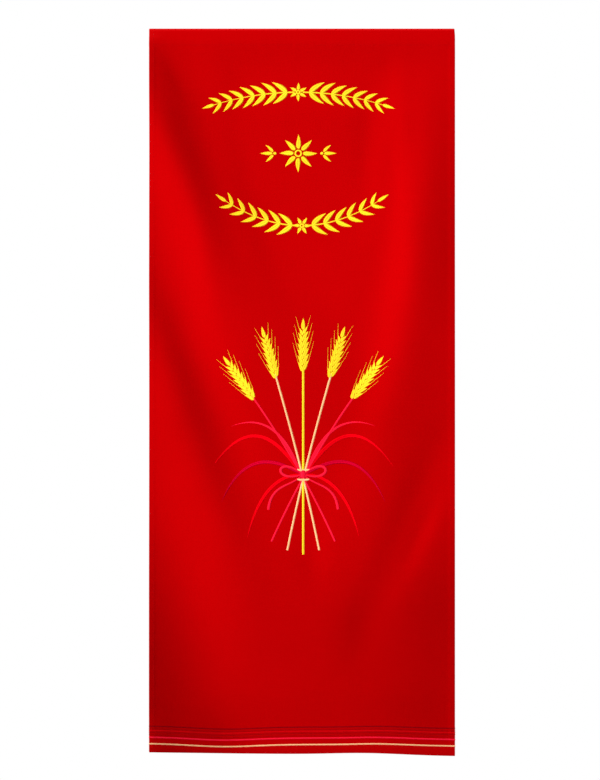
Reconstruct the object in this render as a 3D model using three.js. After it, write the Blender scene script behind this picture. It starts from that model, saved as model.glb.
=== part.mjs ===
// Ambo cloth: a long hanging for the front of a church reading stand, one length of smooth red cloth
// held along its top edge. The cloth is hemmed all round. It hangs in soft swags that run down from the
// two held corners towards the middle, and its lower left corner swings forward.
//
// Units are millimetres. +X is to the right seen from the front, the front faces -Y and +Z is up.
// The origin is the middle of the top edge, where the cloth is held.
import * as THREE from "three";

// The hanging cloth
const WIDTH = 500;
const FALL = 1185; // from the top edge to the foot of the left side
const SHEET = 1.2; // one layer

// Hems, turned to the back and sewn down
const SIDE_HEM = { depth: 8, thickness: 2.0 };
const FOOT_HEM = { depth: 13, thickness: 2.2 };
const TOP_HEM = { depth: 28, thickness: 3.0 };
const HEM_STEP = 0.8; // how far each hem takes to thin out to the single layer

// The foot of the cloth hangs a little lower on the right and is lifted in one shallow scallop.
const RIGHT_FOOT_DROP = 6;
const SCALLOP = { across: 105, spread: 83, lift: 3.1 };

// The turned-in hem draws the top right corner in.
const CORNER_DRAW = 1.4;
const CORNER_REACH = 10;

// The top edge is held straight, so the folds grow from nothing over this depth. The origin lies in the
// middle of the hem's thickness there.
const HELD_DEPTH = 15;
const HELD_FRONT = -TOP_HEM.thickness / 2;

// The cloth leans back towards its top edge, as it does over the rounded edge of what holds it.
const TOP_TURN = { reach: 30, back: 5 };

// Folds take up cloth: a point that stands out is drawn in towards the cloth's middle by this share of its
// distance from there for each millimetre that it stands out.
const TAKE_UP = 1 / 6000;
const MIDDLE_Z = -591;

// Folds, a row for each. The crest runs from (fromX, fromZ) to (toX, toZ) and is bowed sideways by bow.
// Spread is the fold's half width at its start and footSpread at its foot, lean widens its right flank
// against its left one, rise is its height towards the viewer, and peak is the share of the way down at
// which it stands highest. A ridge falls away to both sides of its crest. A step climbs across its crest
// line and keeps its height to the right of it. Where the rise is negative, both sink instead.
const FOLD_COLUMNS = [
  "name", "kind", "fromX", "fromZ", "toX", "toZ", "bow", "spread", "footSpread", "lean", "rise", "peak",
];
const FOLDS = [
  ["left corner ridge", "ridge", -343, 110, -96, -500, 0, 66, 28, 0, 24, 0.43],
  ["left shelf", "step", -248, -150, -36, -830, -8, 34, 34, 0, 24, 0.5],
  ["left faint crease", "step", -130, -30, 12, -560, -32, 22, 26, 0, -8, 0.52],
  ["left middle ridge", "ridge", -359, -200, -74, -1060, 12, 44, 66, -0.22, 19, 0.46],
  ["left belly", "step", -222, -650, -86, -1165, 0, 46, 50, 0, 31, 0.47],
  ["lower left corner", "ridge", -345, -560, -290, -1400, 0, 70, 124, 0, 63, 0.72],
  ["right ridge", "ridge", 205, -20, 76, -925, 38, 38, 72, 0.3, 21, 0.42],
  ["right shelf", "step", 160, -10, 20, -620, 14, 14, 52, 0, 8, 0.25],
  ["right middle hollow", "ridge", 262, -580, 78, -1060, 0, 30, 38, 0, -6.5, 0.5],
  ["middle crease", "step", 30, -740, 40, -930, 0, 13, 13, 0, 3, 0.5],
  ["foot crease", "step", 92, -880, 70, -1090, 0, 20, 26, 0, -5, 0.5],
  ["lower right fall", "ridge", 335, -560, 262, -1360, 0, 112, 110, 0, -34, 0.62],
  ["foot curl", "step", -160, -1085, -84, -1260, 0, 34, 34, 0, -10, 0.62],
  ["right edge lift", "ridge", 300, -250, 300, -850, 0, 90, 90, 0, 9, 0.5],
].map((row) => Object.fromEntries(FOLD_COLUMNS.map((column, i) => [column, row[i]])));

// Facets
const COLUMNS = 30; // between the two side hems
const ROWS = 56; // between the top and foot hems
const ROLL_STEPS = 4; // around the rounded top edge

const { lerp, clamp } = THREE.MathUtils;

// How far a fold stands out at (x, z): its rise, swelling and fading along the crest as a squared sine,
// times its section across the crest, which is a bell curve for a ridge and a smooth S for a step.
function foldHeight(fold, x, z) {
  const t = clamp((z - fold.fromZ) / (fold.toZ - fold.fromZ), 0, 1);
  const crest = lerp(fold.fromX, fold.toX, t) + 4 * fold.bow * t * (1 - t);
  const evenSpread = lerp(fold.spread, fold.footSpread, t);
  const spread = evenSpread * (1 + fold.lean * Math.tanh((x - crest) / evenSpread));
  const off = (x - crest) / spread;
  const section = fold.kind === "step" ? (1 + Math.tanh(off)) / 2 : Math.exp(-(off ** 2));
  const way = t < fold.peak ? t / fold.peak : (1 - t) / (1 - fold.peak);
  return fold.rise * Math.sin((Math.PI / 2) * way) ** 2 * section;
}

// How far the front of the cloth stands out towards the viewer at (x, z), from its top edge.
function relief(x, z) {
  const held = 1 - Math.exp(-((z / HELD_DEPTH) ** 2));
  const turn = TOP_TURN.back * (1 - clamp(1 + z / TOP_TURN.reach, 0, 1) ** 2);
  return turn + held * FOLDS.reduce((sum, fold) => sum + foldHeight(fold, x, z), 0);
}

// How much lower than the left corner the foot hangs at x.
function footDrop(x) {
  const lift = SCALLOP.lift * Math.exp(-(((x - SCALLOP.across) / SCALLOP.spread) ** 2));
  return RIGHT_FOOT_DROP * (x / WIDTH + 0.5) - lift;
}

// The sheet's thickness at a station across and a depth below the top edge: a hem's where one lies.
function thickness(across, depth) {
  if (depth <= TOP_HEM.depth) return TOP_HEM.thickness;
  if (FALL - depth <= FOOT_HEM.depth) return FOOT_HEM.thickness;
  if (WIDTH / 2 - Math.abs(across) <= SIDE_HEM.depth) return SIDE_HEM.thickness;
  return SHEET;
}

// Evenly spaced stations from a to b, both included.
function stations(a, b, steps) {
  return Array.from({ length: steps + 1 }, (_, i) => lerp(a, b, i / steps));
}

// The point on the front of the cloth at a station across and a depth below the top edge.
function frontPoint(across, depth) {
  const z = -depth * (1 + footDrop(across) / FALL);
  const draw = CORNER_DRAW * Math.exp(-((depth / CORNER_REACH) ** 2));
  const x = across - draw * Math.max(0, across / (WIDTH / 2)) ** 8;
  const out = relief(x, z);
  const drawnIn = 1 - TAKE_UP * out;
  return new THREE.Vector3(x * drawnIn, HELD_FRONT - out, MIDDLE_Z + (z - MIDDLE_Z) * drawnIn);
}

// One column of the cloth as a closed loop: down the front, up the back and over the rounded top edge.
function columnLoop(across, depths) {
  const front = depths.map((depth) => frontPoint(across, depth));
  const back = depths.map((depth, i) => front[i].clone().setY(front[i].y + thickness(across, depth)));
  const radius = TOP_HEM.thickness / 2;
  const roll = stations(0, Math.PI, ROLL_STEPS)
    .slice(1, -1)
    .map((angle) => {
      const point = front[0].clone();
      point.y += radius * (1 + Math.cos(angle));
      point.z += radius * Math.sin(angle);
      return point;
    });
  return [...front, ...back.reverse(), ...roll];
}

function clothGeometry() {
  const side = WIDTH / 2;
  const hemEdge = side - SIDE_HEM.depth;
  const inner = stations(HEM_STEP - hemEdge, hemEdge - HEM_STEP, COLUMNS);
  const acrosses = [-side, -hemEdge, ...inner, hemEdge, side];
  const footHemTop = FALL - FOOT_HEM.depth;
  const depths = [
    ...stations(TOP_HEM.thickness / 2, TOP_HEM.depth, 3),
    ...stations(TOP_HEM.depth + HEM_STEP, footHemTop - HEM_STEP, ROWS),
    footHemTop,
    FALL,
  ];
  const loops = acrosses.map((across) => columnLoop(across, depths));
  const loopSize = loops[0].length;
  const index = [];
  const quad = (a, b, c, d) => index.push(a, b, c, a, c, d);

  // The two faces, the foot and the rounded top, loop to loop.
  for (let column = 0; column < loops.length - 1; column++) {
    for (let k = 0; k < loopSize; k++) {
      const next = (k + 1) % loopSize;
      const here = column * loopSize;
      quad(here + k, here + next, here + loopSize + next, here + loopSize + k);
    }
  }

  // The two side edges: a ladder from front to back, and a fan under the rounded top.
  const rows = depths.length;
  const sideEdge = (start, facesRight) => {
    const triangle = (a, b, c) => {
      const corners = facesRight ? [a, b, c] : [c, b, a];
      index.push(...corners.map((corner) => start + corner));
    };
    for (let row = 0; row < rows - 1; row++) {
      const back = 2 * rows - 1 - row;
      triangle(row, row + 1, back - 1);
      triangle(row, back - 1, back);
    }
    for (let k = 2 * rows - 1; k < loopSize - 1; k++) triangle(0, k, k + 1);
  };
  sideEdge(0, false);
  sideEdge((loops.length - 1) * loopSize, true);

  const geometry = new THREE.BufferGeometry().setFromPoints(loops.flat());
  geometry.setIndex(index);
  geometry.computeVertexNormals();
  return geometry;
}

const redCloth = new THREE.MeshStandardMaterial({ color: 0xc80002, roughness: 0.75, metalness: 0 });

const cloth = new THREE.Mesh(clothGeometry(), redCloth);
cloth.name = "cloth";

const amboCloth = new THREE.Group();
amboCloth.add(cloth);

export default amboCloth;
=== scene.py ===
import math

import bpy
import numpy as np
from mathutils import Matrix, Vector


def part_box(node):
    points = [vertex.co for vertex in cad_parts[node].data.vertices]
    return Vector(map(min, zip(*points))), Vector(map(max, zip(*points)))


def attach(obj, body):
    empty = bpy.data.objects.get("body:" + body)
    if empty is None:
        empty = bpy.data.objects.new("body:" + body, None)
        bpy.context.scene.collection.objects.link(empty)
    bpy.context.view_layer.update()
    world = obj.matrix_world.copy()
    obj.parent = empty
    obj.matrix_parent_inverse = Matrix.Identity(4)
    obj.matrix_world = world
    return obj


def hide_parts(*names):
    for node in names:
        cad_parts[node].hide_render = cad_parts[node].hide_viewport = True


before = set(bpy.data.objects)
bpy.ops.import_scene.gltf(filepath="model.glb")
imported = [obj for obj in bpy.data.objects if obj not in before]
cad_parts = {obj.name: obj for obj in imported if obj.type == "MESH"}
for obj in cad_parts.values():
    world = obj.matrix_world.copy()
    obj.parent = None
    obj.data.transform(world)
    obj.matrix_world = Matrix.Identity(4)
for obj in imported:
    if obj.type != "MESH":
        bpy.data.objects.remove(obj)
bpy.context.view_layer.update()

# ---------------------------------------------------------------- camera
# A long lens stands square to the cloth, level with its middle.
FRAME_HEIGHT = 1.2768       # metres of the cloth's plane that the view takes in from top to bottom
CAMERA_DISTANCE = 6.0
LONG_SIDE_SENSOR = 36.0     # millimetres
AIM = (-0.0034, -0.5916)    # across and up, from the middle of the cloth's top edge

camera_data = bpy.data.cameras.new("camera")
camera_data.sensor_width = LONG_SIDE_SENSOR
camera_data.lens = LONG_SIDE_SENSOR * CAMERA_DISTANCE / FRAME_HEIGHT
camera = bpy.data.objects.new("camera", camera_data)
camera.location = (AIM[0], -CAMERA_DISTANCE, AIM[1])
camera.rotation_euler = (math.radians(90), 0, 0)
bpy.context.scene.collection.objects.link(camera)
bpy.context.scene.camera = camera

# ---------------------------------------------------------------- cloth
# One cut length of close, smooth red cloth for the front of a reading stand. Its four edges are turned
# to the back and sewn, and it is held along the top edge, so that swags run down from the two corners.
cloth_low, cloth_high = (np.array(corner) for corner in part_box("cloth"))
TOP = cloth_high[2]
WIDTH, FALL = 0.500, 1.185  # flat, from the top edge to the left corner's foot
RIGHT_FOOT_DROP = 0.0060    # the foot's right corner hangs this much lower than its left one
SCALLOP = {"across": 0.105, "spread": 0.083, "lift": 0.0031}    # of the foot, between the two

SHEET = 0.0010              # one layer
SIDE_HEM = {"depth": 0.008, "thickness": 0.0015}
FOOT_HEM = {"depth": 0.013, "thickness": 0.0021}
TOP_HEM = {"depth": 0.028, "thickness": 0.0030}
HEM_STEP = 0.0012           # how far a hem takes to thin out to the single layer
HEM_SHOW = 0.00018          # how far a turned-in hem lifts the front
SEAM_INSET = 0.0011         # a hem's seam lies this far outside the hem's inner edge
PUCKER = {"lift": 0.00016, "pitch": 0.0180, "spread": 0.0030}
PUCKER_DRIFTS = ((1.9, 0.037), (1.3, 0.0171))   # radians that its phase wanders, and over what distance

CORNER_DRAW, CORNER_REACH = 0.0009, 0.008   # the hems draw the top right corner in
CORNER_POWER = 8            # how steeply that grows towards the right edge
TOP_TURNS = ((0.030, 0.005), (0.0048, 0.0020))  # reach down and depth of two turns back over its holder
FOOT_TURN = {"reach": 0.014, "back": 0.0032}    # the foot hem curls back a little
HELD_DEPTH = 0.015          # held straight at its top, the cloth takes this far to fall into its folds
HELD_FRONT = -TOP_HEM["thickness"] / 2  # the origin lies in the middle of the top hem
MIDDLE_Z = -0.591           # the middle of the cloth, towards which its folds draw it in
TAKE_UP = 1 / 6.0           # by this share of the way for each metre that it stands out

# A row for each fold, in metres. The crest runs from (from_x, from_z) to (to_x, to_z), bowed sideways.
# Spread is the half width at its start and foot_spread at its foot, and lean widens its right flank. Rise
# is its height, and peak the share of the way down at which it is highest. A step climbs across its crest
# line and keeps its height to the right, and with a negative rise a fold sinks instead.
FOLD_COLUMNS = (
    "kind", "from_x", "from_z", "to_x", "to_z", "bow", "spread", "foot_spread", "lean", "rise", "peak",
)
FOLDS = {
    "left corner ridge": ("ridge", -0.343, 0.11, -0.096, -0.5, 0, 0.066, 0.028, 0, 0.024, 0.43),
    "left shelf": ("step", -0.248, -0.15, -0.036, -0.83, -0.008, 0.034, 0.034, 0, 0.024, 0.5),
    "left faint crease": ("step", -0.13, -0.03, 0.012, -0.56, -0.032, 0.022, 0.026, 0, -0.008, 0.52),
    "left middle ridge": ("ridge", -0.359, -0.2, -0.074, -1.06, 0.012, 0.044, 0.066, -0.22, 0.019, 0.46),
    "left belly": ("step", -0.222, -0.65, -0.086, -1.165, 0, 0.046, 0.05, 0, 0.031, 0.47),
    "lower left corner": ("ridge", -0.345, -0.56, -0.29, -1.4, 0, 0.07, 0.124, 0, 0.063, 0.72),
    "right ridge": ("ridge", 0.205, -0.02, 0.076, -0.925, 0.038, 0.038, 0.072, 0.3, 0.021, 0.42),
    "right shelf": ("step", 0.16, -0.01, 0.02, -0.62, 0.014, 0.014, 0.052, 0, 0.008, 0.25),
    "right middle hollow": ("ridge", 0.262, -0.58, 0.078, -1.06, 0, 0.03, 0.038, 0, -0.0065, 0.5),
    "middle crease": ("step", 0.03, -0.74, 0.04, -0.93, 0, 0.013, 0.013, 0, 0.003, 0.5),
    "foot crease": ("step", 0.092, -0.88, 0.07, -1.09, 0, 0.02, 0.026, 0, -0.005, 0.5),
    "lower right fall": ("ridge", 0.335, -0.56, 0.262, -1.36, 0, 0.112, 0.11, 0, -0.034, 0.62),
    "foot curl": ("step", -0.16, -1.085, -0.084, -1.26, 0, 0.034, 0.034, 0, -0.01, 0.62),
    "right edge lift": ("ridge", 0.3, -0.25, 0.3, -0.85, 0, 0.09, 0.09, 0, 0.009, 0.5),
}
# The finer creases between the folds, in the same columns.
CREASES = {
    "upper right lip": ("ridge", 0.162, 0, 0.176, -0.52, 0, 0.016, 0.018, 0, 0.0021, 0.4),
    "upper right dip": ("ridge", 0.112, -0.04, 0.1, -0.36, 0, 0.02, 0.02, 0, -0.0018, 0.5),
    "upper left drop": ("step", -0.134, -0.01, -0.112, -0.15, 0, 0.022, 0.022, 0, -0.003, 0.45),
    "left corner drop": ("step", -0.25, -0.01, -0.18, -0.15, 0, 0.011, 0.011, 0, -0.0025, 0.4),
    "left rib": ("ridge", -0.19, -0.25, -0.125, -0.56, 0, 0.018, 0.026, 0, 0.0032, 0.5),
    "middle dip": ("ridge", 0.012, -0.77, 0.018, -0.96, 0, 0.024, 0.024, 0, -0.002, 0.5),
    "low drop": ("step", 0.085, -0.9, 0.085, -1.1, 0, 0.025, 0.025, 0, -0.002, 0.5),
    "right trough": ("ridge", 0.24, -0.72, 0.15, -0.93, 0, 0.017, 0.017, 0, -0.003, 0.5),
    "left foot drop": ("step", -0.162, -1.07, -0.14, -1.25, 0, 0.024, 0.024, 0, -0.0035, 0.5),
    "left foot flare": ("ridge", -0.264, -1.1, -0.264, -1.24, 0, 0.019, 0.019, 0, -0.006, 0.5),
}


def foot_drop(across):
    """How much lower than the left corner the foot hangs: an even slope, less one bell-shaped scallop."""
    lift = SCALLOP["lift"] * np.exp(-(((across - SCALLOP["across"]) / SCALLOP["spread"]) ** 2))
    return RIGHT_FOOT_DROP * (across / WIDTH + 0.5) - lift


def relief(x, z):
    """How far the cloth stands out at (x, z): for each fold its rise, times a squared sine that swells
    and fades along the crest, times a bell curve across a ridge or a smooth S across a step. All of it
    grows from nothing at the top. Two parabolas turn the cloth back there, and one curls its foot."""
    total = np.zeros(np.broadcast(x, z).shape)
    for row in (*FOLDS.values(), *CREASES.values()):
        fold = dict(zip(FOLD_COLUMNS, row))
        t = np.clip((z - fold["from_z"]) / (fold["to_z"] - fold["from_z"]), 0, 1)
        crest = fold["from_x"] + (fold["to_x"] - fold["from_x"]) * t + 4 * fold["bow"] * t * (1 - t)
        spread = fold["spread"] + (fold["foot_spread"] - fold["spread"]) * t
        off = (x - crest) / (spread * (1 + fold["lean"] * np.tanh((x - crest) / spread)))
        section = (1 + np.tanh(off)) / 2 if fold["kind"] == "step" else np.exp(-(off ** 2))
        way = np.where(t < fold["peak"], t / fold["peak"], (1 - t) / (1 - fold["peak"]))
        total = total + fold["rise"] * np.sin(np.pi / 2 * way) ** 2 * section
    turns = sum(back * (1 - np.clip(1 + z / reach, 0, 1) ** 2) for reach, back in TOP_TURNS)
    above_foot = FALL + z / (1 + foot_drop(x) / FALL)
    curl = FOOT_TURN["back"] * np.clip(1 - above_foot / FOOT_TURN["reach"], 0, None) ** 2
    return turns - curl + total * (1 - np.exp(-((z / HELD_DEPTH) ** 2)))


def smooth_step(value):
    """0 below 0, 1 above 1, and 3v^2 - 2v^3 between."""
    v = np.clip(value, 0, 1)
    return v * v * (3 - 2 * v)


def hem_places(across, depth):
    """Each hem, with how far a point lies in from its outer edge and how far it lies along it."""
    return (
        (SIDE_HEM, WIDTH / 2 - np.abs(across), depth),
        (FOOT_HEM, FALL - depth, across),
        (TOP_HEM, depth, across),
    )


def hem_cover(hem, inward):
    """1 on a hem and 0 off it, changing smoothly over the hem's step."""
    return 1 - smooth_step((inward - hem["depth"]) / HEM_STEP)


def thickness(across, depth):
    """The sheet's thickness: the single layer's, or that of the thickest hem that lies there."""
    layers = [
        SHEET + (hem["thickness"] - SHEET) * hem_cover(hem, inward)
        for hem, inward, _ in hem_places(across, depth)
    ]
    return np.max(layers, axis=0)


def hem_lift(across, depth):
    """How far the hems push the front out: a low step over each, and along each seam a pucker, which is
    a sine with a wandering phase, within a bell curve across the seam."""
    step, pucker = 0, 0
    for hem, inward, along in hem_places(across, depth):
        step = np.maximum(step, HEM_SHOW * hem_cover(hem, inward))
        off_seam = (inward - hem["depth"] + SEAM_INSET) / PUCKER["spread"]
        wander = sum(drift * np.sin(along / distance) for drift, distance in PUCKER_DRIFTS)
        wave = np.sin(2 * np.pi * along / PUCKER["pitch"] + wander)
        pucker = pucker + PUCKER["lift"] * wave * np.exp(-(off_seam ** 2))
    return step + pucker


SIDE_LINE = WIDTH / 2 - SIDE_HEM["thickness"] / 4   # where the front turns into the rounded side edge
PROBE = 0.0005              # how far to either side the relief's slope is felt out


def square_to(normal, direction):
    """The direction at unit length, with its part along the normal taken out."""
    rest = direction - normal * np.sum(normal * direction, axis=-1, keepdims=True)
    return rest / np.linalg.norm(rest, axis=-1, keepdims=True)


def on_cloth(across, depth, lift=0.0, back=False):
    """The point of the cloth's front, or of its back, at a station across and a depth below the top
    edge, moved outwards by lift along the normal, which comes from the relief's two slopes. What stands
    out is drawn in towards the cloth's middle, in proportion to both distances, and the top right corner
    is drawn in a little more. A station past the side line goes on around the edge, along half a circle
    about the middle of the sheet."""
    past, across = np.abs(across) - SIDE_LINE, np.clip(across, -SIDE_LINE, SIDE_LINE)
    z = -depth * (1 + foot_drop(across) / FALL)
    draw = CORNER_DRAW * np.exp(-((depth / CORNER_REACH) ** 2))
    x = across - draw * np.maximum(0, across / (WIDTH / 2)) ** CORNER_POWER
    slope_x = (relief(x + PROBE, z) - relief(x - PROBE, z)) / (2 * PROBE)
    slope_z = (relief(x, z + PROBE) - relief(x, z - PROBE)) / (2 * PROBE)
    normal = np.stack([-slope_x, -np.ones_like(x), -slope_z], axis=-1)
    normal /= np.linalg.norm(normal, axis=-1, keepdims=True)
    out = relief(x, z)
    drawn_in = 1 - TAKE_UP * out
    point = np.stack([x * drawn_in, HELD_FRONT - out, TOP + MIDDLE_Z + (z - MIDDLE_Z) * drawn_in], axis=-1)
    raised, sheet = hem_lift(across, depth), thickness(across, depth)
    middle = point + normal * ((raised - sheet) / 2)[..., None]
    half = (raised + sheet) / 2
    turned = (np.maximum(0, past) / half)[..., None]
    sideways = square_to(normal, np.where(across < 0, -1.0, 1.0)[..., None] * np.array([1.0, 0, 0]))
    facing = normal * np.cos(turned) * (-1 if back else 1) + sideways * np.sin(turned)
    return middle + facing * (half + lift)[..., None]


def add_mesh(name, points, faces, uv):
    """A smooth mesh object at the origin from points, arrays of faces, and a UV for each point."""
    mesh = bpy.data.meshes.new(name)
    rows = [face for group in faces for face in group.tolist()]
    mesh.from_pydata(points.tolist(), [], rows)
    mesh.polygons.foreach_set("use_smooth", np.ones(len(mesh.polygons), bool))
    layer = mesh.uv_layers.new(name="flat")
    corners = np.empty(len(mesh.loops), np.int32)
    mesh.loops.foreach_get("vertex_index", corners)
    layer.data.foreach_set("uv", uv[corners].ravel())
    mesh.update()
    piece = bpy.data.objects.new(name, mesh)
    bpy.context.scene.collection.objects.link(piece)
    return piece


FINE, COARSE = 0.0008, 0.0042   # spacing of the points near the edges, and elsewhere
CLOSE = 0.3 * FINE          # one more row lies this close to each edge
SIDE_FINE, TOP_FINE, FOOT_FINE = 0.0095, 0.0056, 0.0145     # how far in the fine spacing reaches
FIRST_DEPTH = 0.0006        # where the front turns into the rounded top edge
LAST_DEPTH = FALL - FOOT_HEM["thickness"] / 2
EDGE_STEPS = 4              # rows of points around the rounded edge


def stations(low, high, fine_low, fine_high):
    """Stations from low to high: finely spaced near each end, coarsely spaced between, and one more
    close to each end."""
    start = np.arange(low, low + fine_low, FINE)
    end = np.arange(high, high - fine_high, -FINE)[::-1]
    steps = int(round((end[0] - start[-1]) / COARSE))
    between = np.linspace(start[-1], end[0], steps + 1)[1:-1]
    return np.sort(np.concatenate([start, [low + CLOSE], between, [high - CLOSE], end]))


def quads(a, b, c, d):
    """Faces from four equal arrays of corners, in order."""
    return np.stack([a, b, c, d], axis=-1).reshape(-1, 4)


def closed_cloth():
    """The whole cloth as one closed skin: a front grid, a back grid, and between them a rounded edge that
    runs once around. Each edge point is carried along half a circle from the front to the back, and the
    circle bulges sideways, up or down, or slantwise at a corner. Where the top and foot hems make the
    side edge thicker, it bulges no further than between them, so the circle is flattened there."""
    depth_grid, across_grid = np.meshgrid(
        stations(FIRST_DEPTH, LAST_DEPTH, TOP_FINE, FOOT_FINE),
        stations(-SIDE_LINE, SIDE_LINE, SIDE_FINE, SIDE_FINE), indexing="ij")
    rows, columns = depth_grid.shape
    front, back = on_cloth(across_grid, depth_grid), on_cloth(across_grid, depth_grid, back=True)
    flat = np.stack([across_grid, -depth_grid], axis=-1).reshape(-1, 2)
    f = np.arange(rows * columns).reshape(rows, columns)    # the front points' numbers
    b = f + rows * columns                                  # and the back points'
    grid = np.concatenate([front.reshape(-1, 3), back.reshape(-1, 3)])
    border = np.concatenate([f[:, 0], f[-1, 1:], f[-2::-1, -1], f[0, -2:0:-1]])
    row, column = np.divmod(border, columns)
    sideways = (column == columns - 1) * 1.0 - (column == 0)
    upwards = (row == 0) * 1.0 - (row == rows - 1)
    bulge_most = np.where(sideways == 0, np.inf, (SIDE_HEM["thickness"] + HEM_SHOW) / 2)[:, None]
    front_line, back_line = grid[border], grid[border + rows * columns]
    middle, radius = (front_line + back_line) / 2, (front_line - back_line) / 2
    size = np.linalg.norm(radius, axis=-1, keepdims=True)
    outwards = square_to(radius / size, np.stack([sideways, 0 * sideways, upwards], axis=-1))
    reach = outwards * np.minimum(size, bulge_most)
    angle = np.linspace(0, np.pi, EDGE_STEPS + 2)[1:-1, None, None]
    roll = middle + radius * np.cos(angle) + reach * np.sin(angle)
    ids = len(grid) + np.arange(EDGE_STEPS * len(border)).reshape(EDGE_STEPS, -1)
    ladder = np.concatenate([border[None], ids, border[None] + rows * columns])
    after = np.roll(ladder, -1, axis=1)
    faces = [quads(f[:-1, :-1], f[1:, :-1], f[1:, 1:], f[:-1, 1:]),
             quads(b[:-1, :-1], b[:-1, 1:], b[1:, 1:], b[1:, :-1]),
             quads(ladder[:-1], ladder[1:], after[1:], after[:-1])]
    uv = np.concatenate([flat, flat, np.tile(flat[border], (EDGE_STEPS, 1))])
    return np.concatenate([grid, roll.reshape(-1, 3)]), faces, uv


def add_node(tree, kind, inputs=(), **settings):
    """A shader node of the kind with its settings; each input is a value or another node's output."""
    node = tree.nodes.new("ShaderNode" + kind)
    for setting, value in settings.items():
        setattr(node, setting, value)
    for socket, value in dict(inputs).items():
        if isinstance(value, bpy.types.NodeSocket):
            tree.links.new(value, node.inputs[socket])
        else:
            node.inputs[socket].default_value = value
    return node


def maths(tree, operation, *values):
    """The output of a Math node on one, two or three values or sockets."""
    return add_node(tree, "Math", dict(enumerate(values)), operation=operation).outputs[0]


def new_material(name, **sockets):
    """A material, its node tree and its shader, with the named values on the shader's own sockets."""
    material = bpy.data.materials.new(name)
    material.use_nodes = True
    tree = material.node_tree
    shader = tree.nodes["Principled BSDF"]
    for socket, value in sockets.items():
        shader.inputs[socket.replace("_", " ")].default_value = value
    return material, tree, shader


def colour_ramp(tree, value, dark, light):
    """The colour that a value gives on a ramp between two stops, each a place and a colour."""
    ramp = add_node(tree, "ValToRGB", {"Fac": value})
    for stop, (place, colour) in zip(ramp.color_ramp.elements, (dark, light)):
        stop.position, stop.color = place, colour + (1,)
    return ramp.outputs["Color"]


def add_bump(tree, shader, height, strength, distance):
    """Puts a bump of a height map on a shader; distance is what the height's 1 stands for, in metres."""
    bump = add_node(tree, "Bump", {"Height": height, "Strength": strength, "Distance": distance})
    tree.links.new(bump.outputs[0], shader.inputs["Normal"])


WEAVE_PITCH = 0.00042       # from one thread of the cloth to the next
# How finely each noise changes across and down the cloth, per metre, and its detail.
WEAVE_NOISE = {"warp slubs": (900, 22, 2), "weft slubs": (14, 1100, 2), "cloud": (7, 5, 3)}
SLUB_SHARE, CLOUD_SHARE, WEAVE_SHARE = 0.5, 0.7, 0.06   # how much each counts in the tone
DARK_RED, LIGHT_RED = (0.55, (0.494, 0, 0.0006)), (1.0, (0.540, 0, 0.0010))


def red_cloth():
    """Close plain weave: the warp's and the weft's sines multiplied give the over and under of single
    threads, long thin noise gives the thicker threads, and a broad cloud gives the dye's unevenness."""
    material, tree, shader = new_material(
        "red_cloth", Roughness=0.78, Specular_IOR_Level=0.03, Specular_Tint=(1, 0.06, 0.06, 1),
        Sheen_Weight=0.03, Sheen_Roughness=0.4, Sheen_Tint=(1, 0.03, 0.03, 1),
    )
    uv = add_node(tree, "UVMap", uv_map="flat").outputs["UV"]
    place = add_node(tree, "SeparateXYZ", {0: uv})
    warp = maths(tree, "SINE", maths(tree, "MULTIPLY", place.outputs[0], math.pi / WEAVE_PITCH))
    weft = maths(tree, "SINE", maths(tree, "MULTIPLY", place.outputs[1], math.pi / WEAVE_PITCH))
    weave = maths(tree, "MULTIPLY", warp, weft)

    def noise(fine_across, fine_down, detail):
        stretched = add_node(tree, "Mapping", {"Vector": uv, "Scale": (fine_across, fine_down, 1)})
        return add_node(tree, "TexNoise", {
            "Vector": stretched.outputs[0], "Scale": 1.0, "Detail": detail, "Roughness": 0.55,
        }).outputs["Fac"]

    warp_slubs, weft_slubs, cloud = (noise(*row) for row in WEAVE_NOISE.values())
    slubs = maths(tree, "ADD", warp_slubs, weft_slubs)
    tone = maths(tree, "MULTIPLY_ADD", slubs, SLUB_SHARE, maths(tree, "MULTIPLY", cloud, CLOUD_SHARE))
    tone = maths(tree, "MULTIPLY_ADD", weave, WEAVE_SHARE, tone)
    tree.links.new(colour_ramp(tree, tone, DARK_RED, LIGHT_RED), shader.inputs["Base Color"])
    height = maths(tree, "MULTIPLY_ADD", slubs, SLUB_SHARE, weave)
    add_bump(tree, shader, height, strength=0.35, distance=0.00005)
    return material


cloth = add_mesh("hanging_cloth", *closed_cloth())
cloth.data.materials.append(red_cloth())
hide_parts("cloth")
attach(cloth, "root")

# ---------------------------------------------------------------- hem stitching
# Rows of lockstitch in red sewing thread hold the hems down. Each stitch dips into the cloth at both its
# ends, and the same row shows on the front and on the back.
STITCH = {
    "pitch": 0.0030, "length": 0.0025, "width": 0.00044, "height": 0.00024, "sunk": 0.00022,
    "blunt": 0.06, "arch": 0.7, "rings": 6, "sides": 5,
}
SEAM_END = 0.004            # a seam starts and ends this far from the cloth's edge


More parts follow.
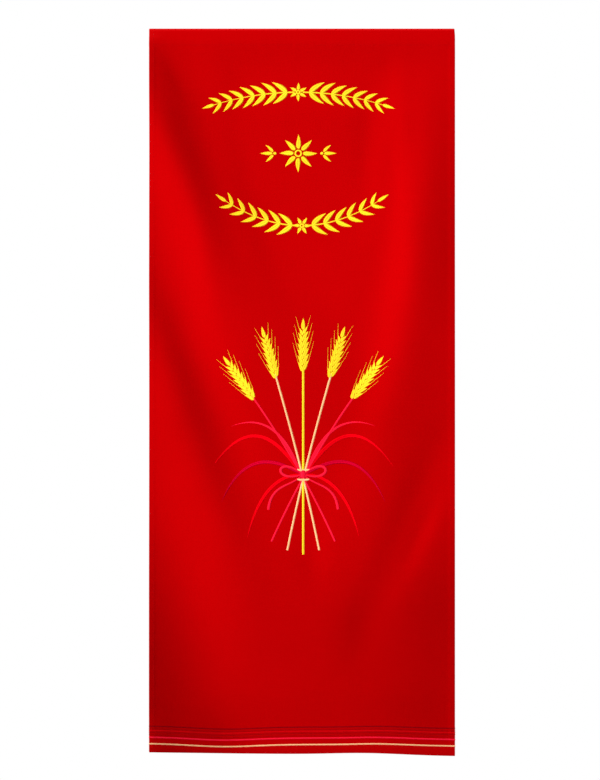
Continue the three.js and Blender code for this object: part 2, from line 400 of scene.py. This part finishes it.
def seam_stitches(start, end, back):
    """A straight row of stitches between two flat points. Each stitch is a grid: along it a sine, to the
    power arch, lifts the thread out of the cloth and back in. Around it runs a circle, as thick as the
    root of a sine that stops short of its zeros by blunt, so that it thins towards its two ends."""
    start, end = np.array(start), np.array(end)
    length = np.linalg.norm(end - start)
    ahead = (end - start) / length
    side = np.array([ahead[1], -ahead[0]])
    count = int(length / STITCH["pitch"])
    middles = start + ahead * ((np.arange(count)[:, None] + 0.5) * length / count)
    share = np.linspace(0, 1, STITCH["rings"])
    angle = np.linspace(0, 2 * np.pi, STITCH["sides"], endpoint=False)
    way = STITCH["blunt"] + (1 - 2 * STITCH["blunt"]) * share
    thick = 0.5 * STITCH["width"] * np.sqrt(np.sin(np.pi * way))
    arch = STITCH["height"] * np.sin(np.pi * share) ** STITCH["arch"] - STITCH["sunk"]
    flat = (
        middles[:, None, None, :]
        + (ahead * (share[:, None] - 0.5) * STITCH["length"])[None, :, None, :]
        + side * (thick[:, None] * np.cos(angle))[None, :, :, None]
    )
    lift = arch[None, :, None] - (thick[:, None] * np.sin(angle))[None]
    lift = np.broadcast_to(lift, flat.shape[:-1])
    points = on_cloth(flat[..., 0], flat[..., 1], lift, back)
    ids = np.arange(points[..., 0].size).reshape(points.shape[:-1])
    around = np.roll(ids, -1, axis=2)
    tube = quads(ids[:, :-1], ids[:, 1:], around[:, 1:], around[:, :-1])
    faces = [tube, ids[:, 0], ids[:, -1, ::-1]]
    if back:
        faces = [face[:, ::-1] for face in faces]
    return points.reshape(-1, 3), faces, flat.reshape(-1, 2)


def joined(parts):
    """Several (points, faces, uv) parts as one."""
    points, faces, uvs, start = [], [], [], 0
    for part_points, part_faces, part_uv in parts:
        points.append(part_points)
        faces += [face + start for face in part_faces]
        uvs.append(part_uv)
        start += len(part_points)
    return np.concatenate(points), faces, np.concatenate(uvs)


def sewing_thread():
    """Fine mercerised thread, a little darker and glossier than the cloth."""
    material, tree, shader = new_material(
        "red_sewing_thread", Roughness=0.5, Specular_IOR_Level=0.25, Specular_Tint=(1, 0.2, 0.2, 1),
    )
    place = add_node(tree, "TexCoord").outputs["Object"]
    tone = add_node(tree, "TexNoise", {"Vector": place, "Scale": 900.0, "Detail": 1.0}).outputs["Fac"]
    colour = colour_ramp(tree, tone, (0, (0.36, 0, 0.001)), (1, (0.48, 0, 0.002)))
    tree.links.new(colour, shader.inputs["Base Color"])
    return material


side_seam = WIDTH / 2 - SIDE_HEM["depth"] + SEAM_INSET
foot_seam = FALL - FOOT_HEM["depth"] + SEAM_INSET
top_seam = TOP_HEM["depth"] - SEAM_INSET
SEAMS = {
    "left": ((-side_seam, SEAM_END), (-side_seam, FALL - SEAM_END)),
    "right": ((side_seam, FALL - SEAM_END), (side_seam, SEAM_END)),
    "foot": ((-WIDTH / 2 + SEAM_END, foot_seam), (WIDTH / 2 - SEAM_END, foot_seam)),
    "top": ((WIDTH / 2 - SEAM_END, top_seam), (-WIDTH / 2 + SEAM_END, top_seam)),
}
hem_seams = add_mesh("hem_stitching", *joined(
    seam_stitches(start, end, back) for start, end in SEAMS.values() for back in (False, True)))
hem_seams.data.materials.append(sewing_thread())
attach(hem_seams, "root")

# ---------------------------------------------------------------- foot lines
# Level lines of satin stitch run across just above the foot: cream, pink, and reds up to a dark
# burgundy. Worked as one band, they keep their distances and sag together left of the middle.
PITCH = 0.00050             # from one thread of satin stitch to the next
RIDGE = 0.00009             # how far a thread stands above the dip beside it
FRAY = 0.035                # share by which every other thread reaches wider
SUNK = 0.00025              # the edges of a band lie this far inside the cloth
THIN = 0.0003               # a band's width where it ends in a point
FULL_AT = 1.6               # a band stands at its full height where half its width is this many domes
BACK_SHARE, BACK_SKIP = 0.6, 3   # the reverse is flatter, and only every third section is laid there
ROUND_SECTION = ((-1, 0), (-0.62, 0.76), (0, 1), (0.62, 0.76), (1, 0))


def evenly(line, step):
    """The line's points moved to even steps along it, four at least, and each one's distance from the
    start."""
    along = np.concatenate([[0], np.cumsum(np.linalg.norm(np.diff(line, axis=0), axis=1))])
    even = np.linspace(0, along[-1], max(4, int(round(along[-1] / step))) + 1)
    return np.stack([np.interp(even, along, line[:, k]) for k in (0, 1)], axis=-1), even


def satin_band(line, width, dome, section=ROUND_SECTION, slant=0.0, pitch=PITCH, base=0.0):
    """A band of satin stitch along a line of flat points. At every half pitch a section is laid across
    the line: pairs of (share of the half width, share of the dome). Every other section is a ridge
    higher and a little wider, as threads lie, and slant draws the sections back towards their edges.
    Width is a number or a function of the share of the way along. Returns flat points with their lift,
    and (threads along, share across)."""
    middle, along = evenly(line, pitch / 2)
    share = along / along[-1]
    half = np.maximum(0.5 * (width(share) if callable(width) else width + 0 * share), THIN / 2)
    ahead = np.gradient(middle, axis=0)
    ahead /= np.linalg.norm(ahead, axis=1, keepdims=True)
    side = np.stack([ahead[:, 1], -ahead[:, 0]], axis=-1)
    places, heights = np.array(section, float).T
    odd = (np.arange(len(middle)) % 2)[:, None]
    reach = places * (half[:, None] * (1 + FRAY * odd))
    flat = middle[:, None] + side[:, None] * reach[..., None]
    flat -= ahead[:, None] * (slant * half[:, None] * np.abs(places))[..., None]
    full = np.minimum(1, half / (FULL_AT * dome))[:, None]
    lift = base + full * (dome * heights + RIDGE * odd * heights) - SUNK * (heights == 0)
    uv = np.stack(np.broadcast_arrays(along[:, None] / pitch, places), axis=-1)
    return np.concatenate([flat, lift[..., None]], axis=-1), uv


def laid(band, back=False):
    """A band put on the cloth as a closed tube: its sections joined in rings, with a face at each end.
    On the back it is flatter and coarser, because the thread is pulled tight there."""
    flat, uv = band
    if back:
        flat, uv = flat[::BACK_SKIP].copy(), uv[::BACK_SKIP]
        flat[..., 2] = BACK_SHARE * (flat[..., 2] - flat[..., 2].min(axis=1, keepdims=True)) - SUNK
    points = on_cloth(flat[..., 0], flat[..., 1], flat[..., 2], back)
    ids = np.arange(points[..., 0].size).reshape(points.shape[:-1])
    around = np.roll(ids, -1, axis=1)
    faces = [quads(ids[:-1], ids[1:], around[1:], around[:-1]), ids[:1], ids[-1:, ::-1]]
    if back:
        faces = [face[:, ::-1] for face in faces]
    return points.reshape(-1, 3), faces, uv.reshape(-1, 2)


SHADE_SPREAD = 0.09         # how far a single thread's shade strays from the colour
# Painted reflection of the red cloth on a band's edges: how closely it keeps to the edge, and the share of
# green and blue that is left there.
PAINTED_RED_BOUNCE = {"power": 5.0, "left": 0.5}


def embroidery_thread(name, colour):
    """Rayon thread: each thread, counted along the band, has its own shade within the spread, and a low bump
    of fine fibres runs along it. Its gloss is drawn out along the band, across the threads. The band's two
    edges are painted redder, a painted reflection that stands in for the red light the cloth throws back."""
    material, tree, shader = new_material(
        name, Roughness=0.50, IOR=1.9, Specular_IOR_Level=1.0, Anisotropic=0.85,
        Specular_Tint=colour + (1,),
    )
    uv = add_node(tree, "UVMap", uv_map="flat").outputs["UV"]
    along = add_node(tree, "Tangent", direction_type="UV_MAP", uv_map="flat")
    tree.links.new(along.outputs[0], shader.inputs["Tangent"])
    place = add_node(tree, "SeparateXYZ", {0: uv})
    count = maths(tree, "FLOOR", maths(tree, "ADD", place.outputs[0], 0.5))
    shade = add_node(tree, "TexWhiteNoise", {"W": count}, noise_dimensions="1D").outputs["Value"]
    low = tuple(value * (1 - SHADE_SPREAD) for value in colour) + (1,)
    high = tuple(min(1, value * (1 + SHADE_SPREAD)) for value in colour) + (1,)
    tone = add_node(tree, "Mix", {0: shade, 6: low, 7: high}, data_type="RGBA")
    # Painted reflection: towards the band's edges the colour is mixed to a redder copy, for the red light
    # the cloth throws back.
    edge = maths(tree, "POWER", maths(tree, "ABSOLUTE", place.outputs[1]), PAINTED_RED_BOUNCE["power"])
    painted_red_bounce = (colour[0], PAINTED_RED_BOUNCE["left"] * colour[1], PAINTED_RED_BOUNCE["left"] * colour[2], 1)
    tinted = add_node(tree, "Mix", {0: edge, 6: tone.outputs[2], 7: painted_red_bounce}, data_type="RGBA")
    tree.links.new(tinted.outputs[2], shader.inputs["Base Color"])
    fibres = add_node(tree, "Mapping", {"Vector": uv, "Scale": (7.0, 1.5, 1)})
    fine = add_node(tree, "TexNoise", {"Vector": fibres.outputs[0], "Scale": 1.0, "Detail": 2.0})
    add_bump(tree, shader, fine.outputs["Fac"], strength=0.3, distance=0.00004)
    return material


THREADS = {
    "yellow_thread": (0.96, 0.68, 0.02),
    "cream_thread": (1.0, 0.53, 0.25),
    "pink_thread": (1.0, 0.010, 0.040),
    "red_thread": (0.80, 0.0, 0.005),
    "crimson_thread": (0.53, 0.0, 0.02),
    "scarlet_thread": (0.615, 0.0, 0.003),
    "deep_red_thread": (0.375, 0.0, 0.002),
    "burgundy_thread": (0.248, 0.0, 0.003),
}
thread_materials = {name: embroidery_thread(name, colour) for name, colour in THREADS.items()}


def add_embroidery(name, thread, bands):
    """One piece of stitching in one thread: its bands on the front, and their reverse on the back."""
    piece = add_mesh(name, *joined(laid(band, back) for band in bands for back in (False, True)))
    piece.data.materials.append(thread_materials[thread])
    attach(piece, "root")


# Height above the cream line, width and thread of each line.
FOOT_LINES = {
    "cream_line": (0.0, 0.0026, "cream_thread"),
    "pink_line": (0.0106, 0.0027, "pink_thread"),
    "lowest_deep_red_line": (0.0148, 0.0013, "deep_red_thread"),
    "lower_deep_red_line": (0.0187, 0.0018, "deep_red_thread"),
    "scarlet_line": (0.0217, 0.0023, "scarlet_thread"),
    "upper_deep_red_line": (0.0246, 0.0015, "deep_red_thread"),
    "burgundy_line": (0.0287, 0.0019, "burgundy_thread"),
}
FLAT_SECTION = ((-1, 0), (-0.78, 0.86), (0, 1), (0.78, 0.86), (1, 0))
LINE_DOME, LINE_PITCH, LINE_POINTS = 0.00040, 0.0006, 400
CREAM_LINE = {"height": 0.0157, "slope": 0.0036}
CREAM_SAGS = ((-0.130, 0.070, 0.0040), (0.070, 0.050, 0.0011))  # across, spread and depth of each


def cream_height(across):
    """Height of the cream line above the foot: a slope up to the right, less two bell-shaped sags."""
    height = CREAM_LINE["height"] + CREAM_LINE["slope"] * across
    for middle, spread, depth in CREAM_SAGS:
        height = height - depth * np.exp(-(((across - middle) / spread) ** 2))
    return height


line_end = SIDE_LINE + math.pi / 4 * SIDE_HEM["thickness"]  # about half way around the side edge
line_across = np.linspace(-line_end, line_end, LINE_POINTS)
for name, (above_cream, width, thread) in FOOT_LINES.items():
    line = np.stack([line_across, FALL - cream_height(line_across) - above_cream], axis=-1)
    add_embroidery(name, thread, [satin_band(line, width, LINE_DOME, FLAT_SECTION, pitch=LINE_PITCH)])

# ---------------------------------------------------------------- leaf garlands
# Two garlands of olive leaves in yellow satin stitch, one arched and one cupped, face each other across
# a small eight-petalled flower. They fill the upper part of the cloth.
LEAF_SECTION = ((-1, 0), (-0.60, 0.92), (-0.18, 0.80), (0, 0.34), (0.18, 0.80), (0.60, 0.92), (1, 0))
LEAF_SLANT, LEAF_DOME = 0.75, 0.0007
LEAF_EARLY, LEAF_BLUNT = 0.8, 0.85
LEAF_SIZE = np.array([0.0300, 0.0096])  # length and width
CURVE_POINTS = 60


def curve(*controls):
    """A smooth line from the first flat control point to the last, drawn towards those between: a
    parabola for three points, a cubic for four, by Bernstein's weights."""
    t = np.linspace(0, 1, CURVE_POINTS)[:, None]
    controls = np.array(controls, float)
    degree = len(controls) - 1
    weights = [math.comb(degree, k) * t ** k * (1 - t) ** (degree - k) for k in range(degree + 1)]
    return sum(weight * control for weight, control in zip(weights, controls))


def heading(angle):
    """The flat direction at an angle in degrees, clockwise from straight up the cloth."""
    return np.array([math.sin(math.radians(angle)), -math.cos(math.radians(angle))])


def swelling(width, early, blunt):
    """A width that follows half a sine wave. The share of the way along is taken to the power early, which
    brings the fullest place forward, and the sine to the power blunt, which fills out the ends."""
    return lambda t: width * np.sin(np.pi * t ** early) ** blunt


def rounded(width, power):
    """A width that is rounded off at both ends: a circle for the power 2, and squarer for a higher one."""
    return lambda t: width * np.sqrt(np.maximum(0, 1 - (2 * t - 1) ** power))


def leaf(foot, angle, length, width, bend):
    """A pointed leaf with a swelling width. Its midline is a parabola, drawn sideways by bend lengths."""
    tip = foot + heading(angle) * length
    midline = curve(foot, (foot + tip) / 2 + heading(angle + 90) * bend * length, tip)
    return satin_band(midline, swelling(width, LEAF_EARLY, LEAF_BLUNT), LEAF_DOME, LEAF_SECTION, LEAF_SLANT)


def berry(centre, size):
    """A round dot of satin stitch."""
    line = np.stack([centre - (size / 2, 0), centre + (size / 2, 0)])
    return satin_band(line, rounded(size, 2), LEAF_DOME)


# Places along a garland are shares of its half span, and its leaves open from the stem by degrees. Every
# other pair varies by a few more.
STEM = {"from": 0.05, "to": 0.97, "points": 80, "width": 0.0032, "thins": 0.0018, "dome": 0.0005}
PAIR = {"first": 0.13, "span": 0.76, "shrinks": 0.32, "opens": 36, "varies": 3, "bend": 0.10}
TIP_LEAF = 0.7              # the last leaf's share of the full size


def garland(middle, half_span, droop, pairs):
    """Two branches that leave a middle point to left and right. Each stem is a parabola that droops
    (or, with a negative droop, rises) to its tip, and carries pairs of leaves that shorten towards it."""
    bands = []
    for turn in (-1, 1):
        def on_stem(share):
            """The stem's point at a share of the half span."""
            return np.stack([middle[0] + turn * half_span * share, middle[1] + droop * share ** 2], axis=-1)

        def climb(share):
            """The angle at which the stem rises there, from the parabola's slope."""
            return math.degrees(math.atan2(-2 * droop * share, half_span))

        stem = on_stem(np.linspace(STEM["from"], STEM["to"], STEM["points"]))
        bands.append(satin_band(stem, lambda t: STEM["width"] - STEM["thins"] * t, STEM["dome"]))
        for k in range(pairs):
            at = PAIR["first"] + PAIR["span"] * k / (pairs - 1)
            length, width = LEAF_SIZE * (1 - PAIR["shrinks"] * at ** 2)
            opening = PAIR["opens"] + PAIR["varies"] * (k % 2)
            for up in (-1, 1):
                angle = turn * (90 - climb(at) - up * opening)
                bands.append(leaf(on_stem(at), angle, length, width, -PAIR["bend"] * turn * up))
        bands.append(leaf(on_stem(STEM["to"]), turn * (90 - climb(1)), *LEAF_SIZE * TIP_LEAF, 0))
    return bands


RING = {"share": 0.62, "points": 60, "width": 0.0034, "dome": 0.0006}
PETAL_BEND = 0.05


def flower(centre, petals, inner, length, width, first=0.0):
    """Petals set evenly around a ring of satin stitch, which lies a share of the way out to them."""
    angles = [first + 360 * k / petals for k in range(petals)]
    bands = [leaf(centre + heading(angle) * inner, angle, length, width, PETAL_BEND) for angle in angles]
    turn = np.linspace(0, 2 * np.pi, RING["points"])
    ring = centre + RING["share"] * inner * np.stack([np.cos(turn), np.sin(turn)], axis=-1)
    return bands + [satin_band(ring, RING["width"], RING["dome"])]


UPPER_GARLAND = {"middle": np.array([-0.006, 0.104]), "half_span": 0.142, "droop": 0.022, "pairs": 7}
LOWER_GARLAND = {"middle": np.array([0.000, 0.322]), "half_span": 0.128, "droop": -0.042, "pairs": 6}
FLOWER_MIDDLE = np.array([-0.006, 0.204])
SMALL_FLOWER = {"petals": 6, "inner": 0.0042, "length": 0.0110, "width": 0.0066}
LARGE_FLOWER = {"petals": 8, "inner": 0.0078, "length": 0.0230, "width": 0.0092}
add_embroidery("upper_garland", "yellow_thread",
               garland(**UPPER_GARLAND) + flower(UPPER_GARLAND["middle"], **SMALL_FLOWER))
add_embroidery("lower_garland", "yellow_thread",
               garland(**LOWER_GARLAND) + flower(LOWER_GARLAND["middle"], **SMALL_FLOWER, first=30))

# Beside the flower stands a sprig on each side: a berry and three leaves that fan outwards.
SPRIG = {"aside": 0.0385, "berry": 0.0056, "gap": 0.0038, "bend": 0.002}    # the bend is for each degree
SPRIG_LEAF = np.array([0.0200, 0.0070])
SPRIG_FAN = ((-42, 0.84), (0, 1.0), (42, 0.84))     # tilt in degrees and size of each leaf
side_sprigs = []
for turn in (-1, 1):
    root = FLOWER_MIDDLE + (turn * SPRIG["aside"], 0)
    side_sprigs.append(berry(root, SPRIG["berry"]))
    for tilt, size in SPRIG_FAN:
        angle = turn * (90 + tilt)
        foot = root + heading(angle) * SPRIG["gap"]
        side_sprigs.append(leaf(foot, angle, *SPRIG_LEAF * size, SPRIG["bend"] * turn * tilt))
add_embroidery("middle_flower", "yellow_thread", flower(FLOWER_MIDDLE, **LARGE_FLOWER) + side_sprigs)

# ---------------------------------------------------------------- wheat sheaf
# A tied sheaf of five wheat ears stands in the middle of the cloth: yellow ears, stalks in yellow, cream
# and pink satin stitch, and long blades in two reds and pink that fall to either side of a pink bow.
TIE = np.array([0.002, 0.728])
# Each stalk: how far its ear's foot stands aside and above the tie, the ear's angle, how far its own foot
# stands aside and below, its width and thread.
STALKS = (
    (0.000, 0.168, 0, 0.000, 0.131, 0.0046, "yellow_thread"),
    (-0.044, 0.157, -16, 0.026, 0.124, 0.0040, "cream_thread"),
    (0.044, 0.157, 16, -0.026, 0.124, 0.0040, "cream_thread"),
    (-0.080, 0.122, -36, 0.052, 0.110, 0.0038, "pink_thread"),
    (0.080, 0.122, 36, -0.052, 0.110, 0.0038, "pink_thread"),
)
STALK = {"into_ear": 0.007, "crowding": 0.04, "rise": 0.4, "fall": 0.5, "dome": 0.0006}
# Kernels and awns lean out from the ear by degrees. Each kernel starts a little aside of the stem, and the
# right one of a pair higher by two staggers. An awn starts at a share of its kernel's length.
EAR = {
    "pairs": 7, "step": 0.0098, "kernel": 0.0188, "width": 0.0076, "lean": 27, "bend": 0.12,
    "fullest": 2, "shrinks": 0.016, "stagger": 0.0013, "aside": 0.0012, "neck": 0.004,
    "stem_width": 0.0018, "stem_dome": 0.0004,
}
AWN = {
    "from": 0.9, "length": 0.034, "shortens": 0.07, "width": 0.0010, "thins": 0.6, "lean": 15,
    "dome": 0.0003, "pitch": 0.001,
}


def wheat_ear(foot, angle):
    """An ear: kernels in pairs up a short stem and one at the top, and long straight awns that stand
    out from every other pair. The kernels shrink with the square of their place from the fullest pair."""
    ahead = heading(angle)
    top = foot + ahead * EAR["step"] * EAR["pairs"]
    stem = np.stack([foot - ahead * EAR["neck"], top])
    bands = [satin_band(stem, EAR["stem_width"], EAR["stem_dome"])]
    for k in range(EAR["pairs"]):
        size = 1 - EAR["shrinks"] * (k - EAR["fullest"]) ** 2
        length, width = EAR["kernel"] * size, EAR["width"] * size
        for turn in (-1, 1):
            lean = angle + turn * EAR["lean"]
            start = foot + ahead * (EAR["step"] * k + EAR["stagger"] * (1 + turn))
            start = start + heading(angle + turn * 90) * EAR["aside"]
            bands.append(leaf(start, lean, length, width, -EAR["bend"] * turn))
            if k % 2 == 0:
                tip = start + heading(lean) * AWN["from"] * length
                end = tip + heading(angle + turn * AWN["lean"]) * AWN["length"] * (1 - AWN["shortens"] * k)
                bands.append(satin_band(
                    np.stack([tip, end]), lambda t: AWN["width"] * (1 - AWN["thins"] * t), AWN["dome"],
                    pitch=AWN["pitch"]))
    return bands + [leaf(top, angle, EAR["kernel"], EAR["width"], 0)]


# Each stalk is a smooth line from its foot through the tie and up into its ear.
sheaf = {name + "_thread": [] for name in ("yellow", "cream", "pink", "red", "crimson")}
for aside, above, angle, foot_aside, below, width, thread in STALKS:
    ear_foot, foot = TIE + (aside, -above), TIE + (foot_aside, below)
    tip = ear_foot + heading(angle) * STALK["into_ear"]
    through = (ear_foot - foot) / np.linalg.norm(ear_foot - foot)
    waist = TIE + (STALK["crowding"] * aside, 0)
    rise = curve(waist, waist + through * STALK["rise"] * above,
                 tip - heading(angle) * STALK["rise"] * above, tip)
    fall = curve(waist, waist - through * STALK["fall"] * below, foot)
    sheaf[thread].append(satin_band(np.concatenate([fall[::-1], rise[1:]]), width, STALK["dome"]))
    sheaf["yellow_thread"] += wheat_ear(ear_foot, angle)

# Each blade, mirrored to both sides: how far its tip stands aside and above the tie, how far its bend
# stands aside and above it, its width and thread.
BLADES = (
    (0.148, 0.012, 0.076, 0.118, 0.0078, "red_thread"),
    (0.134, -0.046, 0.090, 0.056, 0.0068, "crimson_thread"),
    (0.118, 0.078, 0.042, 0.108, 0.0056, "pink_thread"),
    (0.092, -0.106, 0.068, -0.004, 0.0070, "red_thread"),
)
BLADE = {"foot_aside": 0.004, "early": 0.6, "blunt": 0.8, "dome": 0.0005, "slant": 0.5}
for aside, above, bend_aside, bend_above, width, thread in BLADES:
    for turn in (-1, 1):
        bend, tip = TIE + (turn * bend_aside, -bend_above), TIE + (turn * aside, -above)
        line = curve(TIE + (turn * BLADE["foot_aside"], 0), bend, tip)
        outline = swelling(width, BLADE["early"], BLADE["blunt"])
        sheaf[thread].append(satin_band(line, outline, BLADE["dome"], LEAF_SECTION, BLADE["slant"]))

# The tie: two cream wraps over the stalks, and a bow with two loops, two tails and a knot over the blades.
# A loop's and a tail's control points stand aside of and below the tie, and each is narrowest there.
OVER = 0.0002               # the tie and the bow lie this much higher
WRAP = {"half_length": 0.0105, "apart": 0.0078, "sag": 0.0030, "width": 0.0042, "square": 8, "dome": 0.0009}
KNOT = {"half_length": 0.0066, "width": 0.0092, "square": 6, "dome": 0.0013}
BOW_WIDTH = 0.0054
LOOP = {"controls": ((0.046, -0.036), (0.052, 0.018)), "least": 0.45, "dome": 0.0009}
TAIL = {"controls": ((0.020, 0.022), (0.052, 0.014), (0.057, 0.058)), "least": 0.50, "dome": 0.0008}
for turn in (-1, 1):
    wrap = curve(*(
        TIE + (WRAP["half_length"] * k, turn * WRAP["apart"] + WRAP["sag"] * (1 - k * k))
        for k in (-1, 0, 1)))
    loop, tail = (
        [TIE + (turn * aside, below) for aside, below in part["controls"]] for part in (LOOP, TAIL))
    sheaf["cream_thread"].append(
        satin_band(wrap, rounded(WRAP["width"], WRAP["square"]), WRAP["dome"], base=OVER))
    sheaf["pink_thread"] += [
        satin_band(curve(TIE, *loop, TIE),
                   lambda t: BOW_WIDTH * (LOOP["least"] + (1 - LOOP["least"]) * np.sin(np.pi * t)),
                   LOOP["dome"], base=OVER),
        satin_band(curve(TIE, *tail), lambda t: BOW_WIDTH * (TAIL["least"] + (1 - TAIL["least"]) * t),
                   TAIL["dome"], base=OVER),
    ]
knot = np.stack([TIE - (0, KNOT["half_length"]), TIE + (0, KNOT["half_length"])])
sheaf["pink_thread"].append(
    satin_band(knot, rounded(KNOT["width"], KNOT["square"]), KNOT["dome"], base=2 * OVER))

for thread, bands in sheaf.items():
    add_embroidery("sheaf_" + thread, thread, bands)

# ---------------------------------------------------------------- stage
# A pale floor some way under the cloth, which fades into the white background at its border.
FLOOR_DROP = 0.32
FLOOR_SIZE = 1.9            # from its middle to its sides
# The camera sees it this white in its middle, and wholly white past the larger share of its size.
FLOOR_FADE = {"From Min": 0.45, "From Max": 0.95, "To Min": 0.60}
floor_z = cloth_low[2] - FLOOR_DROP
mesh = bpy.data.meshes.new("floor")
mesh.from_pydata(
    [(-FLOOR_SIZE, -FLOOR_SIZE, floor_z), (FLOOR_SIZE, -FLOOR_SIZE, floor_z),
     (FLOOR_SIZE, FLOOR_SIZE, floor_z), (-FLOOR_SIZE, FLOOR_SIZE, floor_z)], [], [(0, 1, 2, 3)])
floor = bpy.data.objects.new("floor", mesh)
bpy.context.scene.collection.objects.link(floor)


def background_ray(tree):
    """1 for a ray from the camera, a reflection or a see-through surface, and 0 for the light on things."""
    path = add_node(tree, "LightPath").outputs
    seen = maths(tree, "MAXIMUM", path["Is Camera Ray"], path["Is Glossy Ray"])
    return maths(tree, "MAXIMUM", seen, path["Is Transmission Ray"])


floor_material, tree, shader = new_material("pale_floor", Roughness=0.9, Specular_IOR_Level=0.1)
shader.inputs["Base Color"].default_value = (0.65, 0.65, 0.65, 1)
place = add_node(tree, "TexCoord").outputs["Object"]
shrink = (1 / FLOOR_SIZE, 1 / FLOOR_SIZE, 0)
centre_way = add_node(tree, "VectorMath", {0: place, 1: shrink}, operation="MULTIPLY")
radius = add_node(tree, "VectorMath", {0: centre_way.outputs[0]}, operation="LENGTH").outputs["Value"]
fade = add_node(
    tree, "MapRange", {"Value": radius, **FLOOR_FADE}, interpolation_type="SMOOTHSTEP").outputs["Result"]
white = add_node(tree, "Emission", {"Color": (1, 1, 1, 1), "Strength": 1.0})
mixed = add_node(tree, "MixShader", {0: maths(tree, "MULTIPLY", fade, background_ray(tree)),
                                     1: shader.outputs[0], 2: white.outputs[0]})
tree.links.new(mixed.outputs[0], tree.nodes["Material Output"].inputs["Surface"])
floor.data.materials.append(floor_material)

AMBIENT = 0.10              # the even light from all around
world = bpy.data.worlds.new("studio")
world.use_nodes = True
bpy.context.scene.world = world
tree = world.node_tree
soft_light = tree.nodes["Background"]
soft_light.inputs["Color"].default_value = (1, 1, 1, 1)
soft_light.inputs["Strength"].default_value = AMBIENT
white = add_node(tree, "Background", {"Color": (1, 1, 1, 1), "Strength": 1.0})
mixed = add_node(tree, "MixShader", {0: background_ray(tree), 1: soft_light.outputs[0], 2: white.outputs[0]})
tree.links.new(mixed.outputs[0], tree.nodes["World Output"].inputs["Surface"])


def add_spot(name, toward, distance, aim, level, reach, softness):
    """A spot lamp at a distance from its aim point, in the direction toward. Level is how brightly it
    lights a white card that faces it there, which takes 4 pi^2 d^2 watts for 1. Its light falls off
    smoothly to nothing at reach from the aim, and softness is the lamp's radius."""
    toward = np.array(toward) / np.linalg.norm(toward)
    data = bpy.data.lights.new(name, "SPOT")
    data.energy = level * 4 * math.pi ** 2 * distance ** 2
    data.spot_size = 2 * math.atan(reach / distance)
    data.spot_blend = 1.0
    data.shadow_soft_size = softness
    lamp = bpy.data.objects.new(name, data)
    lamp.location = np.array(aim) + toward * distance
    lamp.rotation_mode = "QUATERNION"
    lamp.rotation_quaternion = Vector(toward).to_track_quat("Z", "Y")
    bpy.context.scene.collection.objects.link(lamp)


# The direction in which each lamp stands, its distance, its aim, its level, its reach and its softness.
LAMPS = {
    "key": ((-0.62, -0.72, 0.26), 13.0, (0, 0, -0.13), 1.40, 1.94, 0.65),
    "back_fill": ((0.8, 0.5, 0.3), 9.0, (0, 0, -0.5), 1.2, 2.6, 0.8),
    "top_light": ((0, 0.35, 0.94), 6.0, (0, 0, 0), 1.17, 0.50, 0.15),
}
for name, lamp in LAMPS.items():
    add_spot(name, *lamp)

bpy.context.scene.view_settings.view_transform = "Standard"
